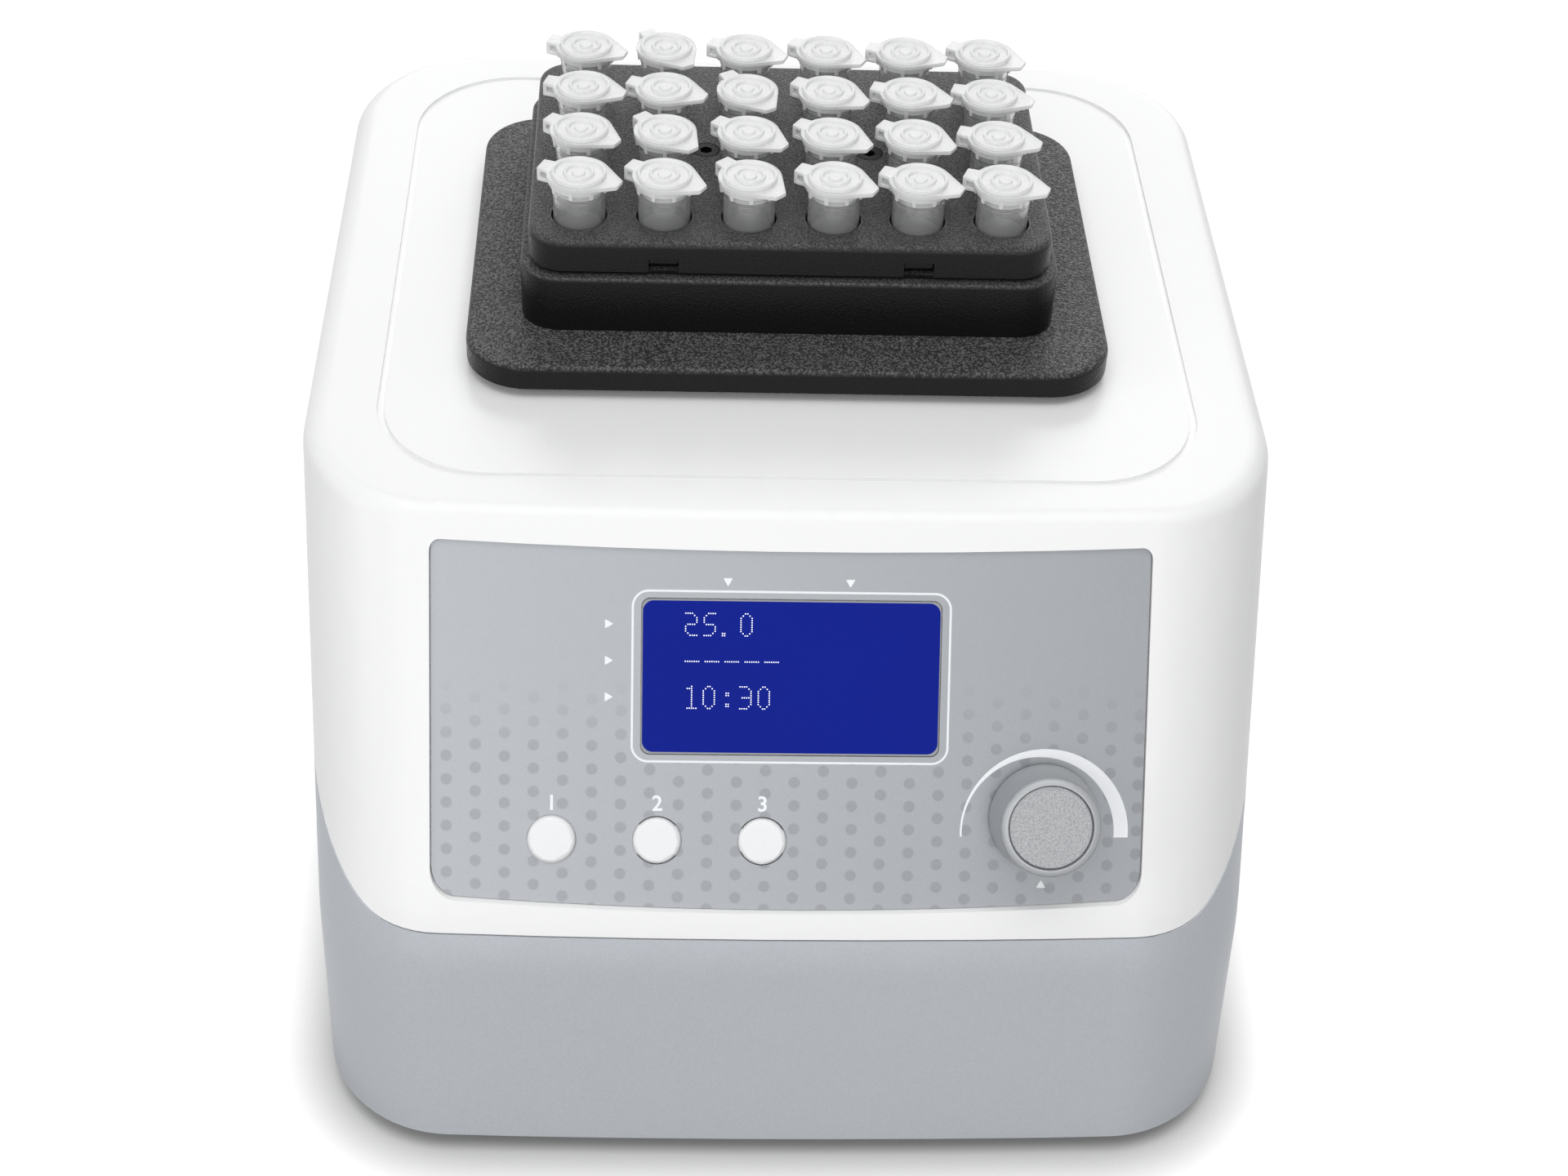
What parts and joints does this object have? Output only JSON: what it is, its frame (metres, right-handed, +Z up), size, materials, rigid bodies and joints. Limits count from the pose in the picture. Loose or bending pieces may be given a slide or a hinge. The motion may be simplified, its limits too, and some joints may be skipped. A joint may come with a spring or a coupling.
{
  "type": "dry block heater",
  "caption": "Bench-top dry block heater: two-part case with a sloped control panel, display, buttons and knob, and a heated block holding closed sample tubes.",
  "frame": {"origin": "on the bench, under the middle of the overall box", "axes": "+Z up, front towards -Y, +X to the right seen from the front"},
  "size_m": [0.1992, 0.2486, 0.1594],
  "materials": {
    "white_case": "satin white moulding",
    "silver_case": "silver grey satin paint",
    "silver_panel": "printed silver overlay",
    "display": "clear blue window",
    "white_button": "smooth white",
    "knob_silver": "light silver grey",
    "knob_inset": "grainy",
    "black_grain": "grained black",
    "black_plastic": "satin black",
    "dark_plastic": "satin",
    "clear_plastic": "translucent polypropylene",
    "aluminium": "machined",
    "steel": "plated",
    "bright_metal": "plated",
    "brass": "plated",
    "rubber": "matt",
    "seal": "matt",
    "heater": "silicone",
    "insulation": "fibre board",
    "circuit": "coated board",
    "fuse_glass": "clear"
  },
  "bodies": {
    "case": {"upper_case": "white_case", "lower_case": "silver_case", "case_screws": "steel", "rubber_feet": "rubber", "control_panel": "silver_panel", "display_window": "display", "display_module": "dark_plastic", "control_board": "circuit", "encoder_body": "bright_metal", "encoder_nut": "bright_metal", "block_plate": "black_grain", "plate_seal": "seal", "heat_block": "aluminium", "block_skirt": "black_plastic", "block_cover": "black_plastic", "block_screws": "steel", "heater_plate": "aluminium", "heater_mat": "heater", "insulation": "insulation", "heater_bracket": "steel", "temperature_probe": "steel", "thermal_cutout": "dark_plastic", "power_board": "circuit", "inlet_module": "dark_plastic", "inlet_pins": "brass"},
    "program_button": {"program_button": "white_button"},
    "temperature_button": {"temperature_button": "white_button"},
    "time_button": {"time_button": "white_button"},
    "plunger": {"push_plunger": "dark_plastic"},
    "knob": {"knob": "knob_silver", "knob_cap": "knob_inset", "encoder_shaft": "steel"},
    "rocker": {"rocker_switch": "black_plastic"},
    "fuse_carrier": {"fuse_drawer": "dark_plastic", "fuse": "fuse_glass"},
    "tube_01": {"tube_01": "clear_plastic"},
    "tube_02": {"tube_02": "clear_plastic"},
    "tube_03": {"tube_03": "clear_plastic"},
    "tube_04": {"tube_04": "clear_plastic"},
    "tube_05": {"tube_05": "clear_plastic"},
    "tube_06": {"tube_06": "clear_plastic"},
    "tube_07": {"tube_07": "clear_plastic"},
    "tube_08": {"tube_08": "clear_plastic"},
    "tube_09": {"tube_09": "clear_plastic"},
    "tube_10": {"tube_10": "clear_plastic"},
    "tube_11": {"tube_11": "clear_plastic"},
    "tube_12": {"tube_12": "clear_plastic"},
    "tube_13": {"tube_13": "clear_plastic"},
    "tube_14": {"tube_14": "clear_plastic"},
    "tube_15": {"tube_15": "clear_plastic"},
    "tube_16": {"tube_16": "clear_plastic"},
    "tube_17": {"tube_17": "clear_plastic"},
    "tube_18": {"tube_18": "clear_plastic"},
    "tube_19": {"tube_19": "clear_plastic"},
    "tube_20": {"tube_20": "clear_plastic"},
    "tube_21": {"tube_21": "clear_plastic"},
    "tube_22": {"tube_22": "clear_plastic"},
    "tube_23": {"tube_23": "clear_plastic"},
    "tube_24": {"tube_24": "clear_plastic"}
  },
  "joints": [
    {"name": "program_press", "type": "slide", "parent": "case", "child": "program_button", "axis": [0, 0.8192, -0.5736], "range_m": [0, 0.0008], "stiffness_N_per_m": 500},
    {"name": "temperature_press", "type": "slide", "parent": "case", "child": "temperature_button", "axis": [0, 0.8192, -0.5736], "range_m": [0, 0.0008], "stiffness_N_per_m": 500},
    {"name": "time_press", "type": "slide", "parent": "case", "child": "time_button", "axis": [0, 0.8192, -0.5736], "range_m": [0, 0.0008], "stiffness_N_per_m": 500},
    {"name": "knob_push", "type": "slide", "parent": "case", "child": "plunger", "axis": [0, 0.8192, -0.5736], "range_m": [0, 0.0008], "stiffness_N_per_m": 1800},
    {"name": "knob_turn", "type": "hinge", "parent": "plunger", "child": "knob", "pos_m": [0.0513, -0.09571, 0.07137], "axis": [0, 0.8192, -0.5736], "continuous": true},
    {"name": "rocker_tip", "type": "hinge", "parent": "case", "child": "rocker", "pos_m": [-0.021, 0.11991, 0.04], "axis": [-1, 0, 0], "range_deg": [0, 22]},
    {"name": "fuse_pull", "type": "slide", "parent": "case", "child": "fuse_carrier", "axis": [0, 1, 0], "range_m": [0, 0.02]},
    {"name": "lift_01", "type": "slide", "parent": "case", "child": "tube_01", "axis": [0, 0, 1], "range_m": [0, 0.045]},
    {"name": "lift_02", "type": "slide", "parent": "case", "child": "tube_02", "axis": [0, 0, 1], "range_m": [0, 0.045]},
    {"name": "lift_03", "type": "slide", "parent": "case", "child": "tube_03", "axis": [0, 0, 1], "range_m": [0, 0.045]},
    {"name": "lift_04", "type": "slide", "parent": "case", "child": "tube_04", "axis": [0, 0, 1], "range_m": [0, 0.045]},
    {"name": "lift_05", "type": "slide", "parent": "case", "child": "tube_05", "axis": [0, 0, 1], "range_m": [0, 0.045]},
    {"name": "lift_06", "type": "slide", "parent": "case", "child": "tube_06", "axis": [0, 0, 1], "range_m": [0, 0.045]},
    {"name": "lift_07", "type": "slide", "parent": "case", "child": "tube_07", "axis": [0, 0, 1], "range_m": [0, 0.045]},
    {"name": "lift_08", "type": "slide", "parent": "case", "child": "tube_08", "axis": [0, 0, 1], "range_m": [0, 0.045]},
    {"name": "lift_09", "type": "slide", "parent": "case", "child": "tube_09", "axis": [0, 0, 1], "range_m": [0, 0.045]},
    {"name": "lift_10", "type": "slide", "parent": "case", "child": "tube_10", "axis": [0, 0, 1], "range_m": [0, 0.045]},
    {"name": "lift_11", "type": "slide", "parent": "case", "child": "tube_11", "axis": [0, 0, 1], "range_m": [0, 0.045]},
    {"name": "lift_12", "type": "slide", "parent": "case", "child": "tube_12", "axis": [0, 0, 1], "range_m": [0, 0.045]},
    {"name": "lift_13", "type": "slide", "parent": "case", "child": "tube_13", "axis": [0, 0, 1], "range_m": [0, 0.045]},
    {"name": "lift_14", "type": "slide", "parent": "case", "child": "tube_14", "axis": [0, 0, 1], "range_m": [0, 0.045]},
    {"name": "lift_15", "type": "slide", "parent": "case", "child": "tube_15", "axis": [0, 0, 1], "range_m": [0, 0.045]},
    {"name": "lift_16", "type": "slide", "parent": "case", "child": "tube_16", "axis": [0, 0, 1], "range_m": [0, 0.045]},
    {"name": "lift_17", "type": "slide", "parent": "case", "child": "tube_17", "axis": [0, 0, 1], "range_m": [0, 0.045]},
    {"name": "lift_18", "type": "slide", "parent": "case", "child": "tube_18", "axis": [0, 0, 1], "range_m": [0, 0.045]},
    {"name": "lift_19", "type": "slide", "parent": "case", "child": "tube_19", "axis": [0, 0, 1], "range_m": [0, 0.045]},
    {"name": "lift_20", "type": "slide", "parent": "case", "child": "tube_20", "axis": [0, 0, 1], "range_m": [0, 0.045]},
    {"name": "lift_21", "type": "slide", "parent": "case", "child": "tube_21", "axis": [0, 0, 1], "range_m": [0, 0.045]},
    {"name": "lift_22", "type": "slide", "parent": "case", "child": "tube_22", "axis": [0, 0, 1], "range_m": [0, 0.045]},
    {"name": "lift_23", "type": "slide", "parent": "case", "child": "tube_23", "axis": [0, 0, 1], "range_m": [0, 0.045]},
    {"name": "lift_24", "type": "slide", "parent": "case", "child": "tube_24", "axis": [0, 0, 1], "range_m": [0, 0.045]}
  ]
}
